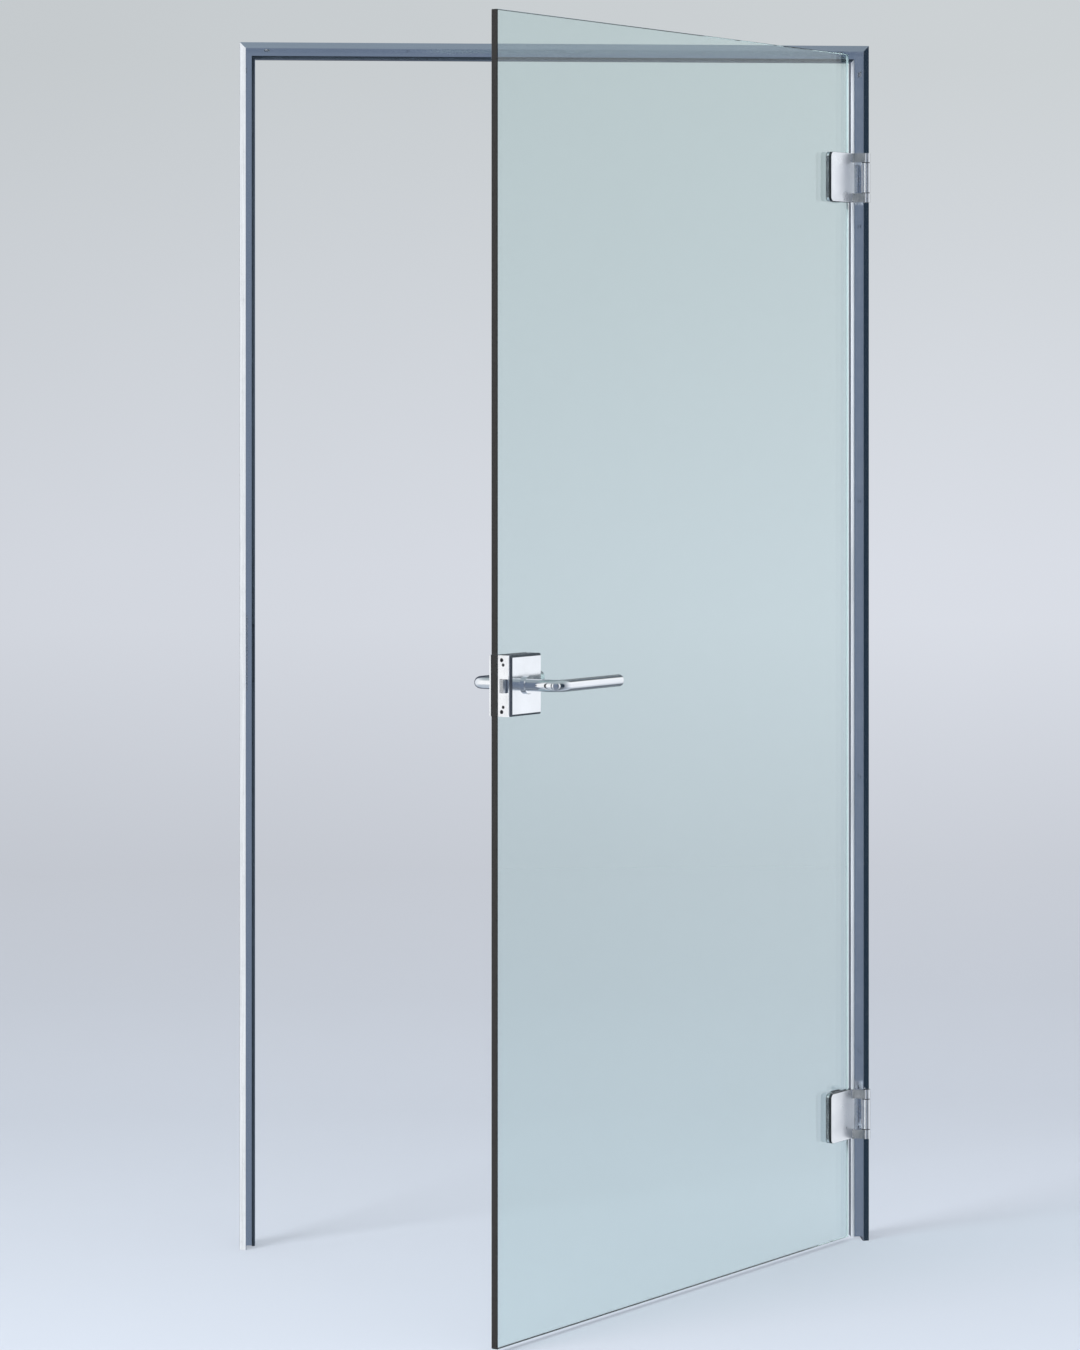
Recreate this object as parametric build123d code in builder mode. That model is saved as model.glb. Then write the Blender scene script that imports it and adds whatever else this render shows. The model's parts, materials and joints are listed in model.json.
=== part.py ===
"""Glass door with slim aluminium frame, open at its resting pose.

Frame: X runs along the wall with the hinge-side jamb's outer face at X = 0 and the door at -X,
-Y is the pull side, Z is up with the floor at 0. Millimetres.
"""
from build123d import *
import math
import os

os.makedirs("parts", exist_ok=True)

# Leaf
leaf_width = 1084.0
leaf_height = 2097.0
glass_thickness = 12.0
glass_arris = 0.8
floor_gap = 7.0
open_angle = 51.25

# Frame profile, seen in section
frame_depth = 60.0
lip_width = 11.5
bevel_depth = 3.0
nose_width = 1.2
nose_radius = 0.6
rebate_depth = 40.0
stop_width = 15.7
profile_wall = 2.0
edge_gap = 3.2
glass_recess = 21.5

# Seal and its groove
seal_width = 5.2
seal_wall = 1.0
seal_clearance = 0.4
seal_foot_width = 4.2
seal_foot_depth = 2.2
groove_mouth = 2.6
groove_lip = 1.4
groove_wall = 1.6
groove_play = 0.1

# Wall fixing holes
fixing_radius = 3.25
fixing_first_height = 330.0
fixing_spacing = 490.0
fixing_count = 4
fixing_depth = 27.0
header_fixing_spacing = 520.0

# Corner cleats
cleat_arm = 70.0
cleat_play = 0.2
cleat_front = 12.0
cleat_rear = 54.0
cleat_screw_radius = 2.5
cleat_screw_head_radius = 4.6
cleat_screw_inset = 48.0
cleat_screw_depth = 30.0

# Hinges
hinge_height = 87.0
hinge_from_leaf_end = 220.0
axis_inset = 7.6
axis_front = 9.5
pin_radius = 4.0
pin_play = 0.05
pin_end_inset = 0.5
pin_end_chamfer = 0.6
bush_wall = 1.45
bush_play = 0.02
bush_flange = 1.2
bush_flange_radius = 7.0
knuckle_radius = 7.5
end_knuckle = 16.0
knuckle_gap = 0.3
hinge_plate_reach = 79.0
hinge_plate_over = 1.5
hinge_plate_thickness = 5.0
hinge_cover_height = 5.0
hinge_cover_wall = 1.2
hinge_cover_clear = 0.25
hinge_corner_radius = 8.0
hinge_edge_round = 0.7
arm_root = 8.0
arm_shoulder = 12.0
gasket_thickness = 1.0
clamp_offset = 37.5
clamp_spread = 22.0
clamp_hole_radius = 9.0
clamp_screw_radius = 4.0
clamp_head_radius = 6.5
clamp_head_height = 3.2
clamp_play = 0.1
counter_plate_thickness = 4.0
counter_plate_start = 15.0
counter_plate_reach = 54.0
counter_boss_radius = 6.5

# Hinge part on the frame
wing_thickness = 3.2
wing_depth = 34.0
wing_play = 0.25
wing_screw_radius = 2.5
wing_head_radius = 4.8
wing_screw_length = 7.0
wing_socket_radius = 1.8
wing_socket_depth = 1.4
wing_screw_front = 11.0
wing_screw_rear = 26.0
wing_screw_spread = 17.0
backing_thickness = 5.0
backing_margin = 20.0
backing_front = 8.0

# Strike plate
strike_height = 130.0
strike_thickness = 2.0
strike_front = 1.6
strike_rear = 34.0
strike_screw_spread = 52.0
strike_screw_radius = 2.0
strike_head_radius = 3.9
strike_screw_length = 9.0
strike_socket_radius = 1.4
strike_socket_depth = 1.2

# Patch lock, measured from the free edge and from the spindle's height
lock_height = 96.0
lock_length = 88.0
lock_depth = 24.0
lock_bevel = 3.5
lock_wall = 2.0
lock_base_thickness = 3.0
spindle_height = 1045.0
backset = 46.0
forend_thickness = 3.0
forend_screw_spread = 33.0
forend_screw_radius = 1.9
forend_head_radius = 2.6
forend_screw_length = 10.0
forend_socket_radius = 1.3
forend_socket_depth = 1.6
forend_block = 8.0
set_screw_spread = 40.5
set_screw_radius = 3.2
set_screw_length = 9.0
set_screw_clear = 0.6
set_screw_socket = 1.6
lock_counter_thickness = 2.5
lock_clamp_height = 36.0
lock_clamp_inset = 66.0
lock_clamp_hole_radius = 8.0
spindle_hole_radius = 15.0

# Latch bolt and follower
latch_height = 21.0
latch_thickness = 13.0
latch_standout = 10.2
latch_start = 4.4
latch_play = 0.4
latch_head_inside = 13.0
latch_nose = 3.0
tail_thickness = 6.0
tail_low = 12.0
tail_high = 21.5
tail_neck = 4.0
hook_width = 6.0
hook_gap = 0.3
follower_radius = 10.0
follower_arm = 16.5
follower_arm_width = 6.0
follower_thickness = 8.0
spindle_side = 8.0
spindle_play = 0.08
latch_spring_radius = 3.6
latch_spring_wire = 0.9
latch_spring_turns = 4
spring_post_width = 2.0
spring_post_start = 30.5
lever_spring_radius = 8.0
lever_spring_wire = 1.6
lever_spring_turns = 2
lever_spring_pitch = 1.9

# Lever handles
lever_radius = 9.6
lever_projection = 60.0
lever_length = 172.0
lever_bend = 21.0
lever_end_round = 1.0
lever_socket_depth = 32.0
collar_radius = 14.4
collar_height = 5.0
collar_play = 0.08
collar_edge = 0.8
grub_screw_radius = 2.5
grub_screw_height = 10.0
lever_foot_gap = 0.4

# Worked out from the sizes above
face_width = lip_width + stop_width
frame_width = leaf_width + 2 * (lip_width + edge_gap)
frame_height = floor_gap + leaf_height + edge_gap + lip_width
front = -frame_depth / 2
axis_x = -axis_inset
axis_y = front - axis_front
pull_face = axis_front + glass_recess
push_face = pull_face + glass_thickness
glass_start = lip_width + edge_gap - axis_inset
glass_end = glass_start + leaf_width
hinge_heights = {
    "upper": floor_gap + leaf_height - hinge_from_leaf_end,
    "lower": floor_gap + hinge_from_leaf_end,
}
seal_depth = glass_recess + glass_thickness + seal_clearance
seal_centre = face_width - seal_width / 2 - groove_wall / 2
cos_open = math.cos(math.radians(open_angle))
sin_open = math.sin(math.radians(open_angle))
to_hinge = Vector(cos_open, sin_open, 0)
to_free = to_hinge * -1
to_pull = Vector(sin_open, -cos_open, 0)


def leaf_point(along, out, height):
    """A point along the leaf from the hinge axis, out towards the pull side, and up."""
    return Vector(axis_x, axis_y, 0) + to_free * along + to_pull * out + Vector(0, 0, height)


def leaf_plan(height):
    """Horizontal plane at a height: x along the leaf from the hinge axis, y towards the pull side."""
    return Plane(origin=leaf_point(0, 0, height), x_dir=to_free, z_dir=(0, 0, 1))


def leaf_face(along, height, out):
    """Plane along the glass, out in front of the pull face: x towards the hinge, y up."""
    return Plane(origin=leaf_point(along, out - pull_face, height), x_dir=to_hinge, z_dir=to_pull)


def write(piece, name):
    """Labels a finished piece and writes its file."""
    piece.part.label = name
    export_step(piece.part, f"parts/{name}.step")


# Frame profiles
bevel_run = lip_width - nose_width
bevel_slope = bevel_depth / bevel_run
bevel_wall = profile_wall * math.hypot(1, bevel_slope)
groove_bottom = rebate_depth + groove_lip + seal_foot_depth + 2 * groove_play
groove_half = seal_foot_width / 2 + groove_play
block_start = seal_centre - groove_half - groove_wall
block_depth = groove_bottom + groove_wall


def inner_bevel(inset):
    """Depth of the bevel's inner wall at an inset from the outer face."""
    return bevel_depth - bevel_slope * inset + bevel_wall


def profile_on(plane):
    """Hollow section of the frame: x inwards from the wall, y back from the nose."""
    with BuildSketch(plane) as section:
        with BuildLine():
            Polyline(
                (0, bevel_depth),
                (bevel_run, 0),
                (lip_width, 0),
                (lip_width, rebate_depth),
                (face_width, rebate_depth),
                (face_width, frame_depth),
                (0, frame_depth),
                close=True,
            )
        make_face()
        nose = section.vertices().sort_by_distance(plane.from_local_coords((lip_width, 0, 0)))[0:2]
        fillet(nose, nose_radius)
        with BuildLine():
            Polyline(
                (profile_wall, inner_bevel(profile_wall)),
                (lip_width - profile_wall, inner_bevel(lip_width - profile_wall)),
                (lip_width - profile_wall, frame_depth - profile_wall),
                (profile_wall, frame_depth - profile_wall),
                close=True,
            )
        make_face(mode=Mode.SUBTRACT)
        with BuildLine():
            Polyline(
                (lip_width, rebate_depth + profile_wall),
                (block_start, rebate_depth + profile_wall),
                (block_start, block_depth),
                (face_width - profile_wall, block_depth),
                (face_width - profile_wall, frame_depth - profile_wall),
                (lip_width, frame_depth - profile_wall),
                close=True,
            )
        make_face(mode=Mode.SUBTRACT)
        with Locations((seal_centre, rebate_depth + groove_lip / 2)):
            Rectangle(groove_mouth, groove_lip, mode=Mode.SUBTRACT)
        with Locations((seal_centre, (rebate_depth + groove_lip + groove_bottom) / 2)):
            Rectangle(2 * groove_half, groove_bottom - rebate_depth - groove_lip, mode=Mode.SUBTRACT)
    return section


def seal_on(plane):
    """Hollow section of the seal with its foot in the groove."""
    bulb_centre = (seal_depth + rebate_depth) / 2
    with BuildSketch(plane) as section:
        with Locations((seal_centre, bulb_centre)):
            Rectangle(seal_width, rebate_depth - seal_depth)
        tip = section.vertices().sort_by_distance(plane.from_local_coords((seal_centre, seal_depth, 0)))[0:2]
        fillet(tip, seal_width * 0.42)
        with Locations((seal_centre, rebate_depth + groove_lip / 2 + groove_play / 2)):
            Rectangle(groove_mouth - 2 * groove_play, groove_lip + groove_play)
        with Locations((seal_centre, rebate_depth + groove_lip + groove_play + seal_foot_depth / 2)):
            Rectangle(seal_foot_width, seal_foot_depth)
        with Locations((seal_centre, bulb_centre)):
            RectangleRounded(
                seal_width - 2 * seal_wall,
                rebate_depth - seal_depth - 2 * seal_wall,
                (seal_width - 2 * seal_wall) * 0.4,
                mode=Mode.SUBTRACT,
            )
    return section


def hinge_profile_plane(height):
    """Section plane of the hinge-side jamb, normal down."""
    return Plane(origin=(0, front, height), x_dir=(-1, 0, 0), z_dir=(0, 0, -1))


def lock_profile_plane(height):
    """Section plane of the lock-side jamb, normal up."""
    return Plane(origin=(-frame_width, front, height), x_dir=(1, 0, 0), z_dir=(0, 0, 1))


header_plane = Plane(origin=(0, front, frame_height), x_dir=(0, 0, -1), z_dir=(1, 0, 0))
hinge_mitre = Plane(origin=(0, 0, frame_height), z_dir=(1, 0, -1))
lock_mitre = Plane(origin=(-frame_width, 0, frame_height), z_dir=(-1, 0, -1))
fixing_heights = [fixing_first_height + i * fixing_spacing for i in range(fixing_count)]
wing_height = hinge_height - 2 * end_knuckle - 2 * bush_flange - 2 * knuckle_gap
rebate_wall = -lip_width
strike_wall = -frame_width + lip_width
latch_centre_depth = glass_recess - latch_start - latch_thickness / 2
cleat_screw_y = front + cleat_screw_depth


def side_plane(x, depth, height):
    """Upright plane across the opening at x: x back from the nose, y up, normal towards -X."""
    return Plane(origin=(x, front + depth, height), x_dir=(0, -1, 0), z_dir=(-1, 0, 0))


with BuildPart() as jamb_hinge_side:
    extrude(profile_on(hinge_profile_plane(0)).sketch, amount=-frame_height)
    split(bisect_by=hinge_mitre, keep=Keep.TOP)
    for height in fixing_heights:
        with BuildSketch(side_plane(0, fixing_depth, height)):
            Circle(fixing_radius)
        extrude(amount=lip_width, mode=Mode.SUBTRACT)
    for height in hinge_heights.values():
        with BuildSketch(side_plane(rebate_wall + profile_wall, wing_depth / 2 - nose_width, height)):
            Rectangle(wing_depth + 2 * nose_width + 2 * wing_play, wing_height + 2 * wing_play)
        extrude(amount=2 * profile_wall, mode=Mode.SUBTRACT)
        for side in (-1, 1):
            plate_screw = height + side * (wing_height + backing_margin) / 2
            with BuildSketch(side_plane(rebate_wall, wing_screw_rear, plate_screw)):
                Circle(wing_screw_radius + clamp_play)
            extrude(amount=-profile_wall, mode=Mode.SUBTRACT)
    with BuildSketch(side_plane(rebate_wall, cleat_screw_depth, frame_height - cleat_screw_inset)):
        Circle(cleat_screw_radius + clamp_play)
    extrude(amount=-profile_wall, mode=Mode.SUBTRACT)
write(jamb_hinge_side, "jamb_hinge_side")

with BuildPart() as jamb_lock_side:
    extrude(profile_on(lock_profile_plane(0)).sketch, amount=frame_height)
    split(bisect_by=lock_mitre, keep=Keep.TOP)
    for height in fixing_heights:
        with BuildSketch(side_plane(-frame_width + lip_width, fixing_depth, height)):
            Circle(fixing_radius)
        extrude(amount=lip_width, mode=Mode.SUBTRACT)
    with BuildSketch(side_plane(strike_wall, latch_centre_depth, spindle_height)):
        Rectangle(latch_thickness + 4 * latch_play, latch_height + 4 * latch_play)
    extrude(amount=profile_wall, mode=Mode.SUBTRACT)
    for side in (-1, 1):
        with BuildSketch(side_plane(strike_wall, latch_centre_depth, spindle_height + side * strike_screw_spread)):
            Circle(strike_screw_radius + clamp_play)
        extrude(amount=profile_wall, mode=Mode.SUBTRACT)
    with BuildSketch(side_plane(strike_wall, cleat_screw_depth, frame_height - cleat_screw_inset)):
        Circle(cleat_screw_radius + clamp_play)
    extrude(amount=profile_wall, mode=Mode.SUBTRACT)
write(jamb_lock_side, "jamb_lock_side")

with BuildPart() as header_profile:
    extrude(profile_on(header_plane).sketch, amount=-frame_width)
    split(bisect_by=hinge_mitre, keep=Keep.BOTTOM)
    split(bisect_by=lock_mitre, keep=Keep.BOTTOM)
    for x in (-header_fixing_spacing / 2, header_fixing_spacing / 2):
        with BuildSketch(Plane.XY.offset(frame_height)):
            with Locations((-frame_width / 2 + x, front + fixing_depth)):
                Circle(fixing_radius)
        extrude(amount=-lip_width, mode=Mode.SUBTRACT)
    for x in (-cleat_screw_inset, -frame_width + cleat_screw_inset):
        with BuildSketch(Plane.XY.offset(frame_height - lip_width)):
            with Locations((x, cleat_screw_y)):
                Circle(cleat_screw_radius + clamp_play)
        extrude(amount=profile_wall, mode=Mode.SUBTRACT)
write(header_profile, "header_profile")


# Seals
seal_recess_height = lock_height + 6.0

with BuildPart() as seal_hinge_side:
    extrude(seal_on(hinge_profile_plane(0)).sketch, amount=-frame_height)
    split(bisect_by=hinge_mitre, keep=Keep.TOP)
write(seal_hinge_side, "seal_hinge_side")

with BuildPart() as seal_lock_side:
    extrude(seal_on(lock_profile_plane(0)).sketch, amount=frame_height)
    split(bisect_by=lock_mitre, keep=Keep.TOP)
    with BuildSketch(lock_profile_plane(spindle_height)):
        with Locations((seal_centre, seal_depth)):
            Rectangle(2 * seal_width, 2 * (gasket_thickness + lock_counter_thickness + seal_clearance))
    extrude(amount=seal_recess_height / 2, both=True, mode=Mode.SUBTRACT)
write(seal_lock_side, "seal_lock_side")

with BuildPart() as seal_header:
    extrude(seal_on(header_plane).sketch, amount=-frame_width)
    split(bisect_by=hinge_mitre, keep=Keep.BOTTOM)
    split(bisect_by=lock_mitre, keep=Keep.BOTTOM)
write(seal_header, "seal_header")


# Corner cleats in the profile chambers, and the screws that hold them
cleat_low = profile_wall + cleat_play
cleat_high = lip_width - profile_wall


def corner_cleat(corner_x, inward):
    """An L of two arms in the upright and the level chamber."""
    rear_plane = Plane(origin=(corner_x, front + cleat_rear, frame_height), x_dir=(1, 0, 0), z_dir=(0, -1, 0))
    side_x = corner_x + inward * cleat_high
    with BuildPart() as cleat:
        with BuildSketch(rear_plane):
            with BuildLine():
                Polyline(
                    (inward * cleat_low, -cleat_low),
                    (inward * cleat_arm, -cleat_low),
                    (inward * cleat_arm, -cleat_high),
                    (inward * cleat_high, -cleat_high),
                    (inward * cleat_high, -cleat_arm),
                    (inward * cleat_low, -cleat_arm),
                    close=True,
                )
            make_face()
        extrude(amount=cleat_rear - cleat_front)
        with BuildSketch(Plane.XY.offset(frame_height - cleat_high)):
            with Locations((corner_x + inward * cleat_screw_inset, cleat_screw_y)):
                Circle(cleat_screw_radius + pin_play)
        extrude(amount=cleat_high - cleat_low, mode=Mode.SUBTRACT)
        with BuildSketch(side_plane(side_x, cleat_screw_depth, frame_height - cleat_screw_inset)):
            Circle(cleat_screw_radius + pin_play)
        extrude(amount=inward * (cleat_high - cleat_low), mode=Mode.SUBTRACT)
    return cleat


corner_cleat_hinge_side = corner_cleat(0, -1)
write(corner_cleat_hinge_side, "corner_cleat_hinge_side")
corner_cleat_lock_side = corner_cleat(-frame_width, 1)
write(corner_cleat_lock_side, "corner_cleat_lock_side")

cleat_screw_length = lip_width - cleat_low - 1.0
cleat_head_height = 1.1
with BuildPart() as corner_screws:
    for x, inward in ((0, -1), (-frame_width, 1)):
        level = Plane(
            origin=(x + inward * cleat_screw_inset, cleat_screw_y, frame_height - lip_width), z_dir=(0, 0, 1)
        )
        upright = Plane(
            origin=(x + inward * lip_width, cleat_screw_y, frame_height - cleat_screw_inset), z_dir=(-inward, 0, 0)
        )
        for plane in (level, upright):
            with BuildSketch(plane):
                Circle(cleat_screw_radius)
            extrude(amount=cleat_screw_length)
            with BuildSketch(plane):
                Circle(cleat_screw_head_radius)
            extrude(amount=-cleat_head_height)
write(corner_screws, "corner_screws")


# Hinges
plate_back = gasket_thickness
plate_front = gasket_thickness + hinge_plate_thickness
cover_front = plate_front + hinge_cover_height
bush_radius = pin_radius + pin_play + bush_wall
arm_edge = glass_start - hinge_plate_over
arm_bevel_start = glass_start + arm_root
backing_height = wing_height + 2 * backing_margin


def tangent_side(along, out):
    """Where a line from a point in the leaf plan touches the knuckle, on the leaf's pull side."""
    turn = math.atan2(out, along) + math.acos(knuckle_radius / math.hypot(along, out))
    return knuckle_radius * math.cos(turn), knuckle_radius * math.sin(turn)


def knuckle_and_arm(height, amount):
    """One knuckle with the arm that carries it, from a height up by an amount."""
    touch = tangent_side(arm_bevel_start, arm_shoulder - pull_face)
    with BuildSketch(leaf_plan(height)) as section:
        Circle(knuckle_radius)
        with BuildLine():
            Polyline(
                (arm_edge, plate_back - pull_face),
                (arm_bevel_start, plate_back - pull_face),
                (arm_bevel_start, arm_shoulder - pull_face),
                touch,
                (0, 0),
                (arm_edge, -knuckle_radius / 2),
                close=True,
            )
        make_face()
    extrude(section.sketch, amount=amount)


def plate_outline(over, grow, radius):
    """Rounded outline of a hinge plate on the glass, from its far end to a distance over the glass edge."""
    length = hinge_plate_reach + over + 2 * grow
    with Locations(((over - hinge_plate_reach) / 2, 0)):
        RectangleRounded(length, hinge_height + 2 * grow, radius)


def knuckle_steps(height):
    """Heights of the two end knuckles' lower faces."""
    return (height - hinge_height / 2, height + hinge_height / 2 - end_knuckle)


def clamp_points():
    """Places of a hinge's clamp screws on its plate."""
    return [(-clamp_offset, -clamp_spread), (-clamp_offset, clamp_spread)]


def hinge_leaf_body(height):
    """Casting on the glass: plate, two arms and the two end knuckles."""
    with BuildPart() as body:
        with BuildSketch(leaf_face(glass_start, height, plate_back)):
            plate_outline(hinge_plate_over, 0, hinge_corner_radius)
            with Locations((hinge_plate_over - hinge_corner_radius, 0)):
                Rectangle(2 * hinge_corner_radius, hinge_height)
        extrude(amount=hinge_plate_thickness)
        for low in knuckle_steps(height):
            knuckle_and_arm(low, end_knuckle)
        with BuildSketch(leaf_plan(height - hinge_height / 2)):
            Circle(bush_radius + bush_play)
        extrude(amount=hinge_height, mode=Mode.SUBTRACT)
        with BuildSketch(leaf_face(glass_start, height, plate_back)):
            with Locations(clamp_points()):
                Circle(clamp_screw_radius + clamp_play)
        extrude(amount=hinge_plate_thickness, mode=Mode.SUBTRACT)
    return body


def hinge_cover(height):
    """Bright cap over the plate, cut out for the arms."""
    arm_cut = arm_root + hinge_cover_clear
    with BuildPart() as cover:
        with BuildSketch(leaf_face(glass_start, height, plate_front)):
            plate_outline(hinge_plate_over, 0, hinge_corner_radius)
            with Locations((hinge_plate_over - hinge_corner_radius, 0)):
                Rectangle(2 * hinge_corner_radius, hinge_height)
        extrude(amount=hinge_cover_height)
        fillet(cover.faces().sort_by(Axis(leaf_point(0, 0, 0), to_pull))[-1].edges(), hinge_edge_round)
        with BuildSketch(leaf_face(glass_start, height, plate_front)):
            inner = hinge_plate_reach + hinge_plate_over - 2 * hinge_cover_wall
            with Locations(((hinge_plate_over - hinge_plate_reach) / 2, 0)):
                RectangleRounded(inner, hinge_height - 2 * hinge_cover_wall, hinge_corner_radius - hinge_cover_wall)
        extrude(amount=hinge_cover_height - hinge_cover_wall, mode=Mode.SUBTRACT)
        for side in (-1, 1):
            with BuildSketch(leaf_face(glass_start, height + side * hinge_height / 2, plate_front)):
                with Locations((hinge_plate_over - (arm_cut + hinge_plate_over) / 2, 0)):
                    Rectangle(arm_cut + hinge_plate_over, 2 * (end_knuckle + hinge_cover_clear))
            extrude(amount=hinge_cover_height, mode=Mode.SUBTRACT)
    return cover


def hinge_gasket(height, out, start, end):
    """Thin fibre sheet between metal and glass, from a start to an end over the glass."""
    length = end - start
    with BuildPart() as gasket:
        with BuildSketch(leaf_face(glass_start, height, out)):
            with Locations((-start - length / 2, 0)):
                RectangleRounded(length, hinge_height, hinge_corner_radius)
            with Locations(clamp_points()):
                Circle(clamp_hole_radius, mode=Mode.SUBTRACT)
        extrude(amount=gasket_thickness)
    return gasket


def hinge_counter_plate(height):
    """Plate on the push side with threaded bosses that reach into the glass holes."""
    length = counter_plate_reach - counter_plate_start
    inner_face = -glass_thickness - gasket_thickness
    with BuildPart() as plate:
        with BuildSketch(leaf_face(glass_start, height, inner_face)):
            with Locations((-counter_plate_start - length / 2, 0)):
                RectangleRounded(length, hinge_height, hinge_corner_radius)
        extrude(amount=-counter_plate_thickness)
        outer = plate.faces().sort_by(Axis(leaf_point(0, 0, 0), to_pull))[0]
        fillet(outer.edges(), hinge_edge_round)
        with BuildSketch(leaf_face(glass_start, height, inner_face)):
            with Locations(clamp_points()):
                Circle(counter_boss_radius)
        extrude(amount=glass_thickness)
        with BuildSketch(leaf_face(glass_start, height, 0)):
            with Locations(clamp_points()):
                Circle(clamp_screw_radius + pin_play)
        extrude(amount=-glass_thickness - gasket_thickness, mode=Mode.SUBTRACT)
    return plate


def hinge_clamp_screws(height):
    """Two screws from under the cover through the glass into the counter plate."""
    with BuildPart() as screws:
        with BuildSketch(leaf_face(glass_start, height, plate_front)):
            with Locations(clamp_points()):
                Circle(clamp_head_radius)
        extrude(amount=clamp_head_height)
        with BuildSketch(leaf_face(glass_start, height, plate_front)):
            with Locations(clamp_points()):
                Circle(clamp_screw_radius)
        extrude(amount=-plate_front - glass_thickness)
        with BuildSketch(leaf_face(glass_start, height, plate_front + clamp_head_height)):
            with Locations(clamp_points()):
                RegularPolygon(clamp_screw_radius * 0.7, 6)
        extrude(amount=-clamp_head_height * 0.7, mode=Mode.SUBTRACT)
    return screws


def hinge_bushes(height):
    """Flanged plastic bushes in the two end knuckles."""
    with BuildPart() as bushes:
        for low, toward in zip(knuckle_steps(height), (1, -1)):
            middle = low + end_knuckle / 2
            flange_from = middle + toward * end_knuckle / 2
            with BuildSketch(leaf_plan(low)):
                Circle(bush_radius)
            extrude(amount=end_knuckle)
            with BuildSketch(leaf_plan(flange_from)):
                Circle(bush_flange_radius)
            extrude(amount=toward * bush_flange)
        with BuildSketch(leaf_plan(height - hinge_height / 2)):
            Circle(pin_radius + pin_play)
        extrude(amount=hinge_height, mode=Mode.SUBTRACT)
    return bushes


def hinge_frame_part(height):
    """Middle knuckle and the wing that is screwed into the rebate."""
    wing_out = lip_width + wing_thickness - profile_wall
    low = height - wing_height / 2
    with BuildPart() as part:
        with BuildSketch(Plane.XY.offset(low)):
            with Locations((axis_x, axis_y)):
                Circle(knuckle_radius)
            with BuildLine():
                Polyline(
                    (-wing_out, axis_y),
                    (-wing_out, front + wing_depth),
                    (-wing_out + wing_thickness, front + wing_depth),
                    (-wing_out + wing_thickness, axis_y),
                    close=True,
                )
            make_face()
            with Locations((axis_x, axis_y)):
                Circle(pin_radius + pin_play / 2, mode=Mode.SUBTRACT)
        extrude(amount=wing_height)
        fillet(part.faces().sort_by(Axis.Y)[-1].edges().filter_by(Axis.X), hinge_cover_wall)
        with BuildSketch(side_plane(-wing_out, 0, height)):
            with Locations(wing_points()):
                Circle(wing_screw_radius + clamp_play)
        extrude(amount=-wing_thickness, mode=Mode.SUBTRACT)
        for spot in wing_points():
            cone_on(side_plane(-wing_out, 0, height), spot, wing_head_radius + clamp_play, Mode.SUBTRACT)
    return part


def wing_points():
    """Places of the wing's screws: back from the nose and up from the middle."""
    return [
        (-wing_screw_front, wing_screw_spread),
        (-wing_screw_front, -wing_screw_spread),
        (-wing_screw_rear, 0),
    ]


def cone_on(plane, spot, radius, mode):
    """Countersink below a face at a spot on its plane."""
    depth = radius - wing_screw_radius
    with BuildSketch(plane) as top:
        with Locations(spot):
            Circle(radius)
    extrude(top.sketch, amount=-depth, taper=45, mode=mode)


def backing_points(height_of_margin):
    """Places of the two screws that hold a backing plate to the profile."""
    return [(-wing_screw_rear, height_of_margin), (-wing_screw_rear, -height_of_margin)]


def hinge_backing_plate(height):
    """Steel plate in the chamber that the wing's screws bite into."""
    with BuildPart() as plate:
        middle = (backing_front + wing_depth) / 2
        with BuildSketch(side_plane(rebate_wall + profile_wall + backing_thickness, middle, height)):
            Rectangle(wing_depth - backing_front, backing_height)
        extrude(amount=backing_thickness)
        with BuildSketch(side_plane(rebate_wall + profile_wall, 0, height)):
            with Locations(wing_points() + backing_points((wing_height + backing_margin) / 2)):
                Circle(wing_screw_radius + pin_play)
        extrude(amount=-backing_thickness, mode=Mode.SUBTRACT)
    return plate


def hinge_wing_screws(height):
    """Countersunk screws through the wing."""
    wing_face = side_plane(rebate_wall + profile_wall - wing_thickness, 0, height)
    with BuildPart() as screws:
        for spot in wing_points():
            with BuildSketch(wing_face):
                with Locations(spot):
                    Circle(wing_screw_radius)
            extrude(amount=-wing_screw_length)
            cone_on(wing_face, spot, wing_head_radius, Mode.ADD)
        with BuildSketch(wing_face):
            with Locations(wing_points()):
                RegularPolygon(wing_socket_radius, 6)
        extrude(amount=-wing_socket_depth, mode=Mode.SUBTRACT)
    return screws


def hinge_backing_screws(height):
    """Flat-headed screws that hold the backing plate to the profile."""
    with BuildPart() as screws:
        with BuildSketch(side_plane(rebate_wall, 0, height)):
            with Locations(backing_points((wing_height + backing_margin) / 2)):
                Circle(wing_screw_radius)
        extrude(amount=-wing_screw_length + wing_thickness - profile_wall)
        with BuildSketch(side_plane(rebate_wall, 0, height)):
            with Locations(backing_points((wing_height + backing_margin) / 2)):
                Circle(wing_head_radius)
        extrude(amount=cleat_head_height)
    return screws


def hinge_pin(height):
    """Steel pin through the three knuckles."""
    with BuildPart() as pin:
        with BuildSketch(Plane.XY.offset(height)):
            with Locations((axis_x, axis_y)):
                Circle(pin_radius)
        extrude(amount=hinge_height / 2 - pin_end_inset, both=True)
        chamfer(pin.edges().filter_by(GeomType.CIRCLE), pin_end_chamfer)
    return pin


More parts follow.
